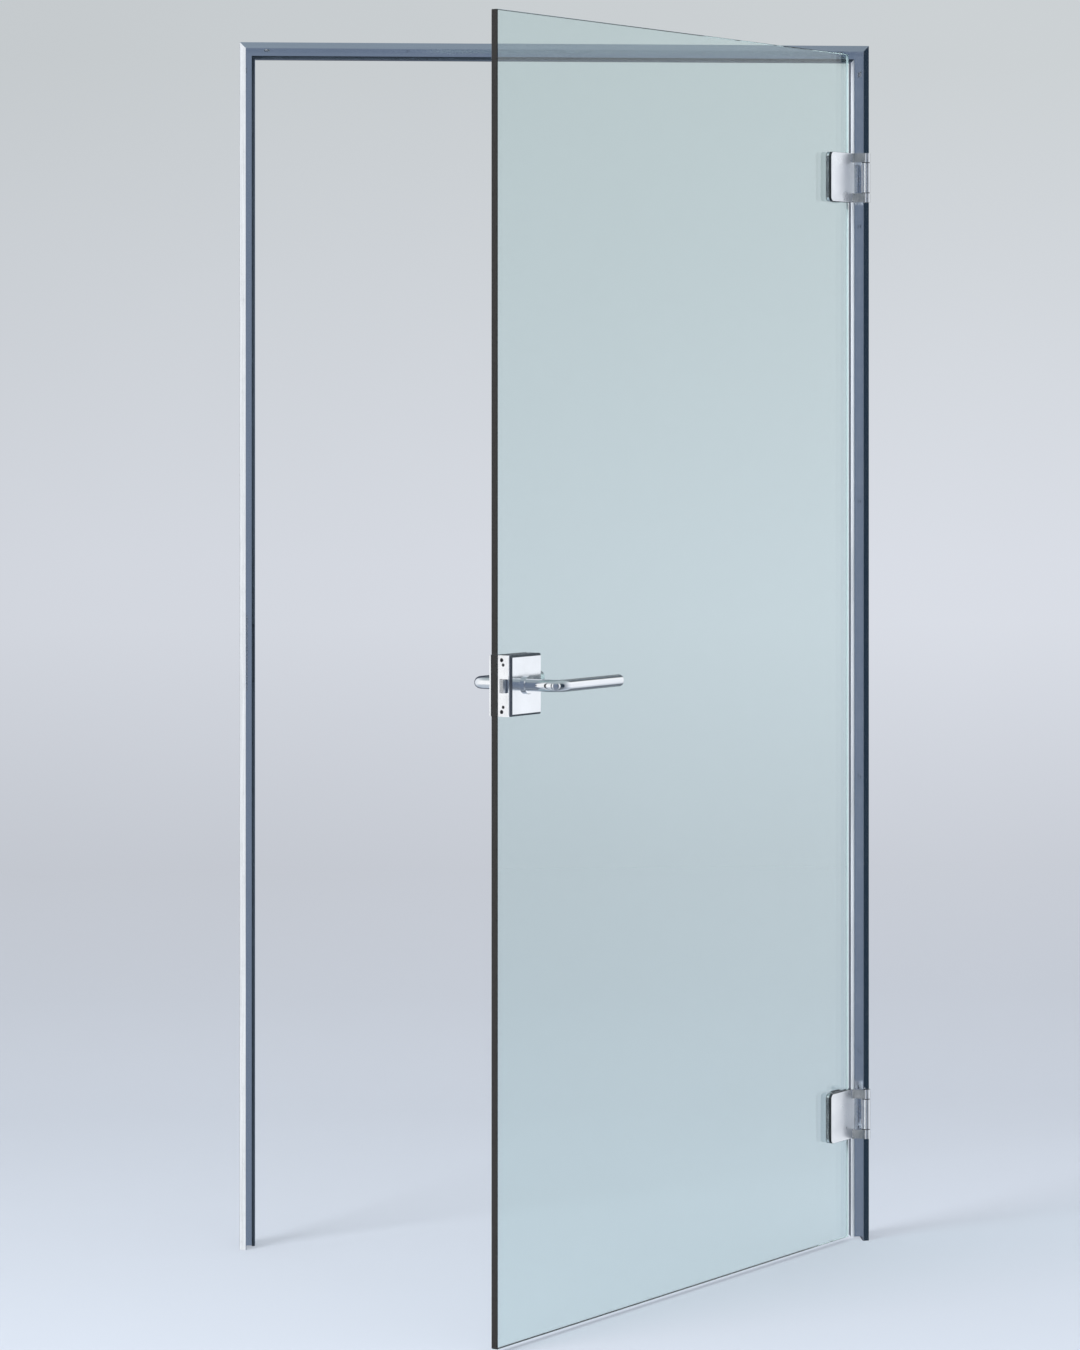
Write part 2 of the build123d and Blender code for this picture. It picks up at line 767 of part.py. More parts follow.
for place, centre in hinge_heights.items():
    write(hinge_leaf_body(centre), f"hinge_{place}_leaf_body")
    write(hinge_cover(centre), f"hinge_{place}_cover")
    gasket_pull = hinge_gasket(centre, 0, -hinge_plate_over + edge_gap / 2, hinge_plate_reach)
    write(gasket_pull, f"hinge_{place}_gasket_pull")
    push_out = -glass_thickness - gasket_thickness
    gasket_push = hinge_gasket(centre, push_out, counter_plate_start, counter_plate_reach)
    write(gasket_push, f"hinge_{place}_gasket_push")
    write(hinge_counter_plate(centre), f"hinge_{place}_counter_plate")
    write(hinge_clamp_screws(centre), f"hinge_{place}_clamp_screws")
    write(hinge_bushes(centre), f"hinge_{place}_bushes")
    write(hinge_frame_part(centre), f"hinge_{place}_frame_part")
    write(hinge_backing_plate(centre), f"hinge_{place}_backing_plate")
    write(hinge_wing_screws(centre), f"hinge_{place}_wing_screws")
    write(hinge_backing_screws(centre), f"hinge_{place}_backing_screws")
    write(hinge_pin(centre), f"hinge_{place}_pin")


# Glass
def lock_face(out):
    """Plane along the glass at the lock: x from the free edge towards the hinge, y up from the spindle."""
    return leaf_face(glass_end, spindle_height, out)


lock_clamp_points = [(lock_clamp_inset, -lock_clamp_height), (lock_clamp_inset, lock_clamp_height)]

with BuildPart() as glass_leaf:
    with BuildSketch(leaf_plan(floor_gap)):
        with Locations(((glass_start + glass_end) / 2, -pull_face - glass_thickness / 2)):
            Rectangle(leaf_width, glass_thickness)
    extrude(amount=leaf_height)
    chamfer(glass_leaf.edges(), glass_arris)
    for centre in hinge_heights.values():
        with BuildSketch(leaf_face(glass_start, centre, 0)):
            with Locations(clamp_points()):
                Circle(clamp_hole_radius)
        extrude(amount=-glass_thickness, mode=Mode.SUBTRACT)
    with BuildSketch(lock_face(0)):
        with Locations((backset, 0)):
            Circle(spindle_hole_radius)
        with Locations(lock_clamp_points):
            Circle(lock_clamp_hole_radius)
    extrude(amount=-glass_thickness, mode=Mode.SUBTRACT)
write(glass_leaf, "glass_leaf")


# Patch lock
case_back = gasket_thickness + lock_base_thickness
neck_hole = lever_radius + collar_play
latch_out = latch_start + latch_thickness / 2
inner_roof = lock_depth - lock_wall
forend_width = lock_depth - lock_bevel - gasket_thickness
forend_centre = gasket_thickness + forend_width / 2
forend_screw_points = [(-forend_centre, side * forend_screw_spread) for side in (-1, 1)]
set_screw_out = case_back + set_screw_radius + set_screw_clear
set_screw_points = [(-set_screw_out, side * set_screw_spread) for side in (-1, 1)]


def edge_plane(inset):
    """Plane across the leaf at an inset from the free edge: x towards the push side, y up, normal outwards."""
    return Plane(
        origin=leaf_point(glass_end - inset, -pull_face, spindle_height), x_dir=to_pull * -1, z_dir=to_free
    )


def lock_outline(inset):
    """The lock's outline on the glass, drawn in by an inset."""
    with Locations((lock_length / 2, 0)):
        Rectangle(lock_length - 2 * inset, lock_height - 2 * inset)


def forend_edge(inset):
    """Takes the forend's thickness off the free-edge side of an outline."""
    with Locations(((forend_thickness + inset) / 2, 0)):
        Rectangle(forend_thickness + inset, lock_height, mode=Mode.SUBTRACT)


def lock_gasket(out):
    """Thin fibre sheet under the lock's plates."""
    with BuildPart() as gasket:
        with BuildSketch(lock_face(out)):
            lock_outline(0)
            with Locations((backset, 0)):
                Circle(spindle_hole_radius, mode=Mode.SUBTRACT)
            with Locations(lock_clamp_points):
                Circle(lock_clamp_hole_radius, mode=Mode.SUBTRACT)
        extrude(amount=gasket_thickness)
    return gasket


lock_gasket_pull = lock_gasket(0)
write(lock_gasket_pull, "lock_gasket_pull")
lock_gasket_push = lock_gasket(-glass_thickness - gasket_thickness)
write(lock_gasket_push, "lock_gasket_push")

with BuildPart() as lock_base:
    with BuildSketch(lock_face(gasket_thickness)):
        lock_outline(0)
        forend_edge(0)
        with Locations((backset, 0)):
            Circle(neck_hole, mode=Mode.SUBTRACT)
        with Locations(lock_clamp_points):
            Circle(clamp_screw_radius + clamp_play, mode=Mode.SUBTRACT)
    extrude(amount=lock_base_thickness)
    with BuildSketch(lock_face(case_back)):
        with Locations((spring_post_start + spring_post_width / 2, 0)):
            Rectangle(spring_post_width, 2 * (latch_spring_radius + latch_spring_wire))
    extrude(amount=latch_out + latch_spring_radius - case_back)
    with BuildSketch(lock_face(case_back)):
        with Locations([(forend_thickness + forend_block / 2, side * forend_screw_spread) for side in (-1, 1)]):
            Rectangle(forend_block, forend_block)
    extrude(amount=inner_roof - lock_bevel - case_back - clamp_play)
    with BuildSketch(edge_plane(forend_thickness)):
        with Locations(forend_screw_points):
            Circle(forend_screw_radius + pin_play)
    extrude(amount=-forend_block, mode=Mode.SUBTRACT)
write(lock_base, "lock_base")

with BuildPart() as lock_case:
    with BuildSketch(lock_face(case_back)):
        lock_outline(0)
        forend_edge(0)
    extrude(amount=lock_depth - case_back)
    case_front = lock_case.faces().sort_by(Axis(leaf_point(0, 0, 0), to_pull))[-1]
    chamfer(case_front.edges(), lock_bevel)
    with BuildSketch(lock_face(case_back)):
        lock_outline(lock_bevel)
        forend_edge(lock_bevel)
    extrude(amount=inner_roof - case_back, mode=Mode.SUBTRACT)
    with BuildSketch(lock_face(case_back)):
        with Locations((forend_thickness + lock_bevel / 2, 0)):
            Rectangle(lock_bevel, lock_height - 2 * lock_bevel)
    extrude(amount=inner_roof - lock_bevel - case_back, mode=Mode.SUBTRACT)
    with BuildSketch(lock_face(inner_roof)):
        with Locations((backset, 0)):
            Circle(neck_hole)
    extrude(amount=lock_wall, mode=Mode.SUBTRACT)
write(lock_case, "lock_case")


with BuildPart() as lock_forend:
    with BuildSketch(edge_plane(forend_thickness)):
        with Locations((-forend_centre, 0)):
            Rectangle(forend_width, lock_height)
        with Locations((-latch_out, 0)):
            Rectangle(latch_thickness + 2 * latch_play, latch_height + 2 * latch_play, mode=Mode.SUBTRACT)
        with Locations(forend_screw_points):
            Circle(forend_screw_radius + clamp_play, mode=Mode.SUBTRACT)
        with Locations(set_screw_points):
            Circle(set_screw_radius + pin_play, mode=Mode.SUBTRACT)
    extrude(amount=forend_thickness)
    with BuildSketch(edge_plane(0)):
        with Locations(forend_screw_points):
            Circle(forend_head_radius + clamp_play)
    extrude(amount=-(forend_head_radius - forend_screw_radius), taper=45, mode=Mode.SUBTRACT)
write(lock_forend, "lock_forend")

with BuildPart() as lock_forend_screws:
    with BuildSketch(edge_plane(0)):
        with Locations(forend_screw_points):
            Circle(forend_screw_radius)
    extrude(amount=-forend_screw_length)
    with BuildSketch(edge_plane(0)):
        with Locations(forend_screw_points):
            Circle(forend_head_radius)
    extrude(amount=-(forend_head_radius - forend_screw_radius), taper=45)
    with BuildSketch(edge_plane(0)):
        with Locations(forend_screw_points):
            RegularPolygon(forend_socket_radius, 6)
    extrude(amount=-forend_socket_depth, mode=Mode.SUBTRACT)
write(lock_forend_screws, "lock_forend_screws")

with BuildPart() as lock_set_screws:
    with BuildSketch(edge_plane(0)):
        with Locations(set_screw_points):
            Circle(set_screw_radius)
    extrude(amount=-set_screw_length)
    with BuildSketch(edge_plane(0)):
        with Locations(set_screw_points):
            RegularPolygon(set_screw_socket, 6)
    extrude(amount=-set_screw_length / 2, mode=Mode.SUBTRACT)
write(lock_set_screws, "lock_set_screws")

with BuildPart() as lock_counter_plate:
    counter_face = -glass_thickness - gasket_thickness
    with BuildSketch(lock_face(counter_face)):
        lock_outline(0)
        with Locations((backset, 0)):
            Circle(neck_hole, mode=Mode.SUBTRACT)
    extrude(amount=-lock_counter_thickness)
    with BuildSketch(lock_face(counter_face)):
        with Locations(lock_clamp_points):
            Circle(counter_boss_radius)
    extrude(amount=glass_thickness)
    with BuildSketch(lock_face(0)):
        with Locations(lock_clamp_points):
            Circle(clamp_screw_radius + pin_play)
    extrude(amount=-glass_thickness - gasket_thickness, mode=Mode.SUBTRACT)
write(lock_counter_plate, "lock_counter_plate")

with BuildPart() as lock_clamp_screws:
    with BuildSketch(lock_face(case_back)):
        with Locations(lock_clamp_points):
            Circle(clamp_head_radius)
    extrude(amount=clamp_head_height)
    with BuildSketch(lock_face(case_back)):
        with Locations(lock_clamp_points):
            Circle(clamp_screw_radius)
    extrude(amount=-case_back - glass_thickness)
write(lock_clamp_screws, "lock_clamp_screws")


def collar(out, toward):
    """Bearing collar that guides a lever's neck."""
    with BuildPart() as ring:
        with BuildSketch(lock_face(out)):
            with Locations((backset, 0)):
                Circle(collar_radius)
        extrude(amount=toward * collar_height)
        chamfer(ring.edges().sort_by(Axis(leaf_point(0, 0, 0), to_pull * toward))[-1], collar_edge)
        with BuildSketch(lock_face(out)):
            with Locations((backset, 0)):
                Circle(neck_hole)
        extrude(amount=toward * collar_height, mode=Mode.SUBTRACT)
    return ring


counter_out = -glass_thickness - gasket_thickness - lock_counter_thickness
lock_collar_pull = collar(lock_depth, 1)
write(lock_collar_pull, "lock_collar_pull")
lock_collar_push = collar(counter_out, -1)
write(lock_collar_push, "lock_collar_push")


# Latch bolt: head with a bevel on the push side, tail above the follower, hook behind the arm
hook_start = backset + follower_arm_width / 2 + hook_gap
hook_end = hook_start + hook_width

latch_origin = leaf_point(glass_end, -pull_face, spindle_height - latch_height / 2)

with BuildPart() as latch_bolt:
    with BuildSketch(Plane(origin=latch_origin, x_dir=to_free, z_dir=(0, 0, 1))):
        with BuildLine():
            Polyline(
                (-latch_head_inside - forend_thickness, latch_start),
                (0, latch_start),
                (latch_standout, latch_start + latch_thickness - latch_nose),
                (latch_standout, latch_start + latch_thickness),
                (-latch_head_inside - forend_thickness, latch_start + latch_thickness),
                close=True,
            )
        make_face()
    extrude(amount=latch_height)
    with BuildSketch(lock_face(latch_out - tail_thickness / 2)):
        with BuildLine():
            Polyline(
                (forend_thickness + latch_head_inside - tail_neck, 0),
                (forend_thickness + latch_head_inside, 0),
                (forend_thickness + latch_head_inside, tail_high - tail_neck),
                (hook_start, tail_high - tail_neck),
                (hook_start, tail_low),
                (hook_end, tail_low),
                (hook_end, tail_high),
                (forend_thickness + latch_head_inside - tail_neck, tail_high),
                close=True,
            )
        make_face()
    extrude(amount=tail_thickness)
write(latch_bolt, "latch_bolt")

with BuildPart() as follower:
    with BuildSketch(lock_face(latch_out - follower_thickness / 2)):
        with Locations((backset, 0)):
            Circle(follower_radius)
        with Locations((backset, follower_arm / 2)):
            Rectangle(follower_arm_width, follower_arm)
        with Locations((backset, 0)):
            Rectangle(spindle_side + 2 * spindle_play, spindle_side + 2 * spindle_play, mode=Mode.SUBTRACT)
    extrude(amount=follower_thickness)
write(follower, "follower")

lever_foot_pull = lock_depth - lock_wall + lever_foot_gap
lever_foot_push = counter_out - lever_foot_gap + lock_counter_thickness
spindle_pull_end = lever_foot_pull + lever_socket_depth - 1.0
spindle_push_end = lever_foot_push - lever_socket_depth + 1.0

with BuildPart() as spindle:
    with BuildSketch(lock_face(spindle_push_end)):
        with Locations((backset, 0)):
            Rectangle(spindle_side, spindle_side)
    extrude(amount=spindle_pull_end - spindle_push_end)
write(spindle, "spindle")


# Springs
def coil(plane, radius, pitch, turns, wire):
    """A round-wire coil whose axis is a plane's normal."""
    with BuildPart() as spring:
        with BuildLine():
            length = pitch * turns
            path = Helix(pitch, length, radius, center=plane.origin, direction=plane.z_dir)
        with BuildSketch(Plane(origin=path @ 0, z_dir=path % 0)):
            Circle(wire / 2)
        sweep(path=path, is_frenet=True)
    return spring


spring_room = spring_post_start - forend_thickness - latch_head_inside
spring_pitch = (spring_room - latch_spring_wire - 2 * hook_gap) / latch_spring_turns
latch_spring_start = forend_thickness + latch_head_inside + latch_spring_wire / 2 + hook_gap
latch_spring_plane = Plane(
    origin=leaf_point(glass_end - latch_spring_start, latch_out - pull_face, spindle_height),
    x_dir=(0, 0, 1),
    z_dir=to_hinge,
)
latch_spring = coil(latch_spring_plane, latch_spring_radius, spring_pitch, latch_spring_turns, latch_spring_wire)
write(latch_spring, "latch_spring")

lever_spring_out = latch_out + follower_thickness / 2 + lever_spring_wire / 2 + hook_gap
lever_spring_plane = Plane(
    origin=leaf_point(glass_end - backset, lever_spring_out - pull_face, spindle_height),
    x_dir=to_hinge,
    z_dir=to_pull,
)
lever_spring = coil(
    lever_spring_plane, lever_spring_radius, lever_spring_pitch, lever_spring_turns, lever_spring_wire
)
write(lever_spring, "lever_spring")


# Lever handles
def lever(foot, face, toward):
    """Bent round bar with a square socket in its neck."""
    reach = face + toward * lever_projection
    with BuildPart() as handle:
        with BuildLine():
            path = FilletPolyline(
                leaf_point(glass_end - backset, foot - pull_face, spindle_height),
                leaf_point(glass_end - backset, reach - pull_face, spindle_height),
                leaf_point(glass_end - backset - lever_length, reach - pull_face, spindle_height),
                radius=lever_bend,
            )
        with BuildSketch(Plane(origin=path @ 0, x_dir=(0, 0, 1), z_dir=path % 0)):
            Circle(lever_radius)
        sweep(path=path)
        tip = handle.faces().filter_by(GeomType.PLANE).sort_by(Axis(leaf_point(0, 0, 0), to_hinge))[-1]
        fillet(tip.edges(), lever_end_round)
        with BuildSketch(lock_face(foot)):
            with Locations((backset, 0)):
                Rectangle(spindle_side + 2 * spindle_play, spindle_side + 2 * spindle_play)
        extrude(amount=toward * lever_socket_depth, mode=Mode.SUBTRACT)
        with BuildSketch(grub_plane(face, toward)):
            Circle(grub_screw_radius + pin_play)
        extrude(amount=lever_radius, mode=Mode.SUBTRACT)
    return handle


def grub_plane(face, toward):
    """Plane under the neck where the grub screw goes in, normal up to the spindle."""
    out = face + toward * (collar_height + grub_screw_height)
    return Plane(
        origin=leaf_point(glass_end - backset, out - pull_face, spindle_height - lever_radius), z_dir=(0, 0, 1)
    )


lever_pull = lever(lever_foot_pull, lock_depth, 1)
write(lever_pull, "lever_pull")
lever_push = lever(lever_foot_push, counter_out, -1)
write(lever_push, "lever_push")

with BuildPart() as lever_grub_screws:
    for face, toward in ((lock_depth, 1), (counter_out, -1)):
        with BuildSketch(grub_plane(face, toward).offset(0.4)):
            Circle(grub_screw_radius)
        extrude(amount=lever_radius - 0.4 - spindle_side / 2)
write(lever_grub_screws, "lever_grub_screws")


# Strike plate in the lock-side jamb
strike_middle = (strike_front + strike_rear) / 2
strike_points = [(-latch_centre_depth, side * strike_screw_spread) for side in (-1, 1)]
strike_face = side_plane(strike_wall + strike_thickness, 0, spindle_height)

with BuildPart() as strike_plate:
    with BuildSketch(strike_face):
        with Locations((-strike_middle, 0)):
            RectangleRounded(strike_rear - strike_front, strike_height, hinge_cover_wall)
        with Locations((-latch_centre_depth, 0)):
            Rectangle(latch_thickness + 4 * latch_play, latch_height + 4 * latch_play, mode=Mode.SUBTRACT)
        with Locations(strike_points):
            Circle(strike_screw_radius + clamp_play, mode=Mode.SUBTRACT)
    extrude(amount=strike_thickness)
    with BuildSketch(strike_face):
        with Locations(strike_points):
            Circle(strike_head_radius + clamp_play)
    extrude(amount=strike_head_radius - strike_screw_radius, taper=45, mode=Mode.SUBTRACT)
write(strike_plate, "strike_plate")

with BuildPart() as strike_screws:
    with BuildSketch(strike_face):
        with Locations(strike_points):
            Circle(strike_screw_radius)
    extrude(amount=strike_screw_length)
    with BuildSketch(strike_face):
        with Locations(strike_points):
            Circle(strike_head_radius)
    extrude(amount=strike_head_radius - strike_screw_radius, taper=45)
    with BuildSketch(strike_face):
        with Locations(strike_points):
            RegularPolygon(strike_socket_radius, 6)
    extrude(amount=strike_socket_depth, mode=Mode.SUBTRACT)
write(strike_screws, "strike_screws")
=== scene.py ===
"""Finishes, stage and camera for a glass door in a slim aluminium frame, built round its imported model."""
import json
import math

import bpy
from bpy.props import FloatProperty, FloatVectorProperty, PointerProperty
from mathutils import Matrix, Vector


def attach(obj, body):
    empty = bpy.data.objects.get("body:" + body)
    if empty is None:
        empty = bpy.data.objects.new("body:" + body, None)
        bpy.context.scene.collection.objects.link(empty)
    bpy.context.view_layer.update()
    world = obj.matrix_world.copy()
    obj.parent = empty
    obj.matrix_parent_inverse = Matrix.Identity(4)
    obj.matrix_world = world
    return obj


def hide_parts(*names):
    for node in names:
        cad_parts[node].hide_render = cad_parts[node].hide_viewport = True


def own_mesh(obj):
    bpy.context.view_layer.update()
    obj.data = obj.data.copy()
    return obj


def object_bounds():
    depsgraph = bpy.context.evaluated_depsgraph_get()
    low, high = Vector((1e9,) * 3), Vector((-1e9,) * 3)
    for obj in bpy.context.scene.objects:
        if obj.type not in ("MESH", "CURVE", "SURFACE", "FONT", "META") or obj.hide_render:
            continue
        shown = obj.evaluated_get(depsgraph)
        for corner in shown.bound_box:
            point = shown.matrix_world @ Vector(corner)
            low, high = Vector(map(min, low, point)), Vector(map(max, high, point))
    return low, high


bl_info = {
    "name": "Glass Door Finishes",
    "version": (1, 0, 0),
    "blender": (4, 5, 0),
    "location": "View3D > Sidebar > Glass Door",
    "description": "Metal, glass and rubber finishes for a glass door and its frame, with a pale studio",
    "category": "Object",
}

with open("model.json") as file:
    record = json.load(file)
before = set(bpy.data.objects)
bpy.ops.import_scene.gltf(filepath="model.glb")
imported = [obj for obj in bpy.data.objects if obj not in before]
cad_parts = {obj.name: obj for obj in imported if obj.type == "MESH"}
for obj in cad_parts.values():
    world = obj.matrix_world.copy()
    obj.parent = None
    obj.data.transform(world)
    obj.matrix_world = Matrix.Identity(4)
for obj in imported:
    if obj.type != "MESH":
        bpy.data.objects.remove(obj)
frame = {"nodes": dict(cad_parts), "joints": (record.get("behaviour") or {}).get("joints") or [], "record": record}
NODES = frame["nodes"]
CAD_BOX = [list(corner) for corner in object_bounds()]
MATERIALS = {m["slot"]: m for m in frame["record"]["materials"]}
JOINTS = {j["name"]: j for j in frame["joints"]}

# Directions of the leaf as it stands at rest, from the axes of its joints
TO_PULL = -Vector(JOINTS["lever_turn"]["axis"])
TO_HINGE = Vector(JOINTS["latch_slide"]["axis"])
LEAF_TURN = math.atan2(TO_HINGE.y, TO_HINGE.x)

GROUND_EDGE_DEPTH = 0.004  # from the end of the pane on the hinge side
FLECK_TONE = (0.16, 0.16, 0.17)
# Painted shade towards the left of the backdrop and floor
SHADED_PAPER = (0.35, 0.37, 0.40)
PAPER_MOTTLE = (0.35, 0.36, 0.38)

# Reach of floor and backdrop, in metres
FLOOR_REACH = 30.0
FLOOR_ROWS = (-6.0, -2.0)
BACKDROP_HEIGHT = 7.0
SWEEP_STEPS = 24

TOP_LAMP_PLACE, TOP_LAMP_AIM, TOP_LAMP_SIZE = (-0.6, -1.6, 5.2), (-0.6, -0.3, 0.0), (4.5, 4.5)
SIDE_LAMP_PLACE, SIDE_LAMP_AIM, SIDE_LAMP_SIZE = (-4.8, -3.6, 4.2), (-0.2, -0.2, 1.0), (2.4, 2.4)
WARM_LIGHT = (1.0, 0.985, 0.96)
COOL_LIGHT = (0.97, 0.985, 1.0)
CAMERA_PLACE = (-1.143, -7.515, 1.502)
CAMERA_HEADING = math.radians(-4.26)


def slot_colour(slot):
    """The record's colour of a material slot."""
    return MATERIALS[slot]["base_color"][:3]


def colour_property(name, description, default):
    """A colour that a user can change."""
    return FloatVectorProperty(
        name=name, description=description, default=default, subtype="COLOR", size=3, min=0.0, max=1.0
    )


def share_property(name, description, default):
    """A share from 0 to 1 that a user can change."""
    return FloatProperty(
        name=name, description=description, default=default, min=0.0, max=1.0, subtype="FACTOR"
    )


class DoorFinishes(bpy.types.PropertyGroup):
    """Colours and gloss of the door's own surfaces."""

    frame_metal: colour_property("Frame metal", "Satin aluminium of the three profiles", (0.80, 0.84, 0.89))
    frame_roughness: share_property("Frame roughness", "How far the profiles blur what they mirror", 0.12)
    fitting_metal: colour_property(
        "Fitting metal", "Polished aluminium of hinges and lock", (0.86, 0.88, 0.91)
    )
    fitting_roughness: share_property(
        "Fitting roughness", "How far hinges and lock blur what they mirror", 0.11
    )
    cover_roughness: share_property("Cover roughness", "How far the hinge covers blur what they mirror", 0.28)
    # Painted dark reflection on the sides of the hinge covers, not a tone of the metal
    cover_side_reflection: colour_property("Cover side", "Dark sides of the hinge covers", (0.075, 0.080, 0.088))
    # Painted dark reflection on the bevels and sides of the lock case, not a tone of the metal
    case_side_reflection: colour_property("Case side", "Darker bevels and sides of the lock case", (0.36, 0.38, 0.41))
    handle_metal: colour_property(
        "Handle metal", "Polished aluminium of the lever handles", (0.84, 0.86, 0.89)
    )
    handle_roughness: share_property("Handle roughness", "How far the handles blur what they mirror", 0.09)
    screw_metal: colour_property(
        "Screw metal", "Plain steel of screws, pins and springs", slot_colour("steel")
    )
    latch_metal: colour_property(
        "Latch metal", "Machined steel of the latch bolt", slot_colour("latch_steel")
    )
    # Painted shade: the forend screws are coloured dark as the shade in their countersunk recesses
    forend_screw_shade: colour_property("Dark steel", "Painted shade on the screws of the forend", (0.16, 0.165, 0.175))
    black_metal: colour_property("Black steel", "Oxide-black set screws", slot_colour("black_steel"))
    pane_tint: colour_property(
        "Pane tint", "What the pane lets through, seen square on", (0.731, 0.843, 0.838)
    )
    edge_tint: colour_property("Edge tint", "What the pane's long edges let through", (0.020, 0.045, 0.065))
    arris_tint: colour_property("Arris tint", "Ground bevel between face and edge", (0.30, 0.42, 0.44))
    ground_tone: colour_property("Ground edge", "Matte ground edge on the hinge side", (0.80, 0.85, 0.87))
    # Painted shade: the lock side and header seals are the hinge side's pale rubber, coloured dark as the shade
    # under their lips
    seal_tone: colour_property(
        "Seal tone", "Painted shade on the pale rubber of the lock side and the header", (0.045, 0.062, 0.082)
    )
    pale_seal_tone: colour_property(
        "Pale seal tone", "Pale grey rubber of the hinge side", (0.57, 0.585, 0.605)
    )
    gasket_tone: colour_property("Gasket tone", "Dark sheet between metal and glass", (0.05, 0.052, 0.056))
    bush_tone: colour_property("Bush tone", "Dark plastic of the knuckle bushes", slot_colour("bush_plastic"))


class DoorStudio(bpy.types.PropertyGroup):
    """Floor, backdrop and lamps."""

    backdrop_tone: colour_property("Backdrop", "Pale paper behind the door", (0.705, 0.735, 0.800))
    # Painted shade: the same paper, darker near the top
    backdrop_top: colour_property(
        "Backdrop top", "The same paper near the top of the picture", (0.610, 0.645, 0.665)
    )
    # Painted shade: the same paper, darker where wall turns to floor
    sweep_tone: colour_property(
        "Sweep", "Slightly darker band where wall turns to floor", (0.535, 0.565, 0.625)
    )
    floor_tone: colour_property("Floor", "Pale floor under the door", (0.640, 0.687, 0.773))
    sweep_start: FloatProperty(
        name="Sweep start", description="Distance of the sweep behind the frame", default=1.45, unit="LENGTH"
    )
    sweep_radius: FloatProperty(
        name="Sweep radius", description="Radius of the sweep", default=1.2, unit="LENGTH"
    )
    stage_width: FloatProperty(
        name="Stage width", description="Width of floor and backdrop", default=34.0, unit="LENGTH"
    )
    top_lamp: FloatProperty(
        name="Top lamp", description="Power of the lamp overhead", default=150.0, unit="POWER"
    )
    side_lamp: FloatProperty(
        name="Side lamp", description="Power of the lamp high on the left", default=400.0, unit="POWER"
    )


# Shader building blocks
def fresh_material(name):
    """A material with one surface shader, and its node tree."""
    material = bpy.data.materials.new(name)
    material.use_nodes = True
    tree = material.node_tree
    shader = tree.nodes["Principled BSDF"]
    return material, tree, shader


def finish_surface(tree, shader):
    """The last shader of a material."""
    tree.links.new(shader, tree.nodes["Material Output"].inputs["Surface"])


def position(tree):
    """Coordinates that stay with the piece."""
    return tree.nodes.new("ShaderNodeTexCoord").outputs["Object"]


def object_space(tree, scale=(1.0, 1.0, 1.0), turn=0.0):
    """Coordinates that stay with the piece, turned about Z and stretched."""
    mapping = tree.nodes.new("ShaderNodeMapping")
    mapping.vector_type = "TEXTURE"
    mapping.inputs["Rotation"].default_value = (0.0, 0.0, turn)
    mapping.inputs["Scale"].default_value = scale
    tree.links.new(position(tree), mapping.inputs["Vector"])
    return mapping.outputs["Vector"]


def axes(tree, vector):
    """The X, Y and Z of a vector."""
    node = tree.nodes.new("ShaderNodeSeparateXYZ")
    tree.links.new(vector, node.inputs["Vector"])
    return node.outputs


def reach_along(tree, vector, direction):
    """How far a vector reaches along a fixed direction."""
    node = tree.nodes.new("ShaderNodeVectorMath")
    node.operation = "DOT_PRODUCT"
    node.inputs[1].default_value = direction
    tree.links.new(vector, node.inputs[0])
    return node.outputs["Value"]


def noise(tree, vector, scale, detail, rough):
    """Plain noise on given coordinates."""
    node = tree.nodes.new("ShaderNodeTexNoise")
    node.inputs["Scale"].default_value = scale
    node.inputs["Detail"].default_value = detail
    node.inputs["Roughness"].default_value = rough
    tree.links.new(vector, node.inputs["Vector"])
    return node.outputs["Fac"]


def spread(tree, value, low, high, start=0.3, end=0.7):
    """A value that runs from low to high while another runs from start to end, which suit a noise."""
    node = tree.nodes.new("ShaderNodeMapRange")
    node.inputs["From Min"].default_value = start
    node.inputs["From Max"].default_value = end
    node.inputs["To Min"].default_value = low
    node.inputs["To Max"].default_value = high
    tree.links.new(value, node.inputs["Value"])
    return node.outputs["Result"]


def mixed(tree, share, first, second):
    """A colour between two, by a share that is a number or a socket."""
    node = tree.nodes.new("ShaderNodeMix")
    node.data_type = "RGBA"
    for value, socket in ((share, node.inputs[0]), (first, node.inputs[6]), (second, node.inputs[7])):
        if isinstance(value, (int, float)):
            socket.default_value = value
        elif isinstance(value, bpy.types.NodeSocket):
            tree.links.new(value, socket)
        else:
            socket.default_value = (*value, 1.0)
    return node.outputs[2]


def mixed_shaders(tree, share, first, second):
    """A shader between two, by a socket."""
    node = tree.nodes.new("ShaderNodeMixShader")
    for source, socket in zip((share, first, second), node.inputs):
        tree.links.new(source, socket)
    return node.outputs[0]


def maths(tree, operation, *values):
    """One step of arithmetic on numbers or sockets."""
    node = tree.nodes.new("ShaderNodeMath")
    node.operation = operation
    for value, socket in zip(values, node.inputs):
        if isinstance(value, (int, float)):
            socket.default_value = value
        else:
            tree.links.new(value, socket)
    return node.outputs[0]


def bumped(tree, shader, height, strength, distance):
    """Fine relief on a shader."""
    node = tree.nodes.new("ShaderNodeBump")
    node.inputs["Strength"].default_value = strength
    node.inputs["Distance"].default_value = distance
    tree.links.new(height, node.inputs["Height"])
    tree.links.new(node.outputs["Normal"], shader.inputs["Normal"])


def darker(tone, share):
    """A tone brought down by a share."""
    return tuple(value * (1.0 - share) for value in tone)


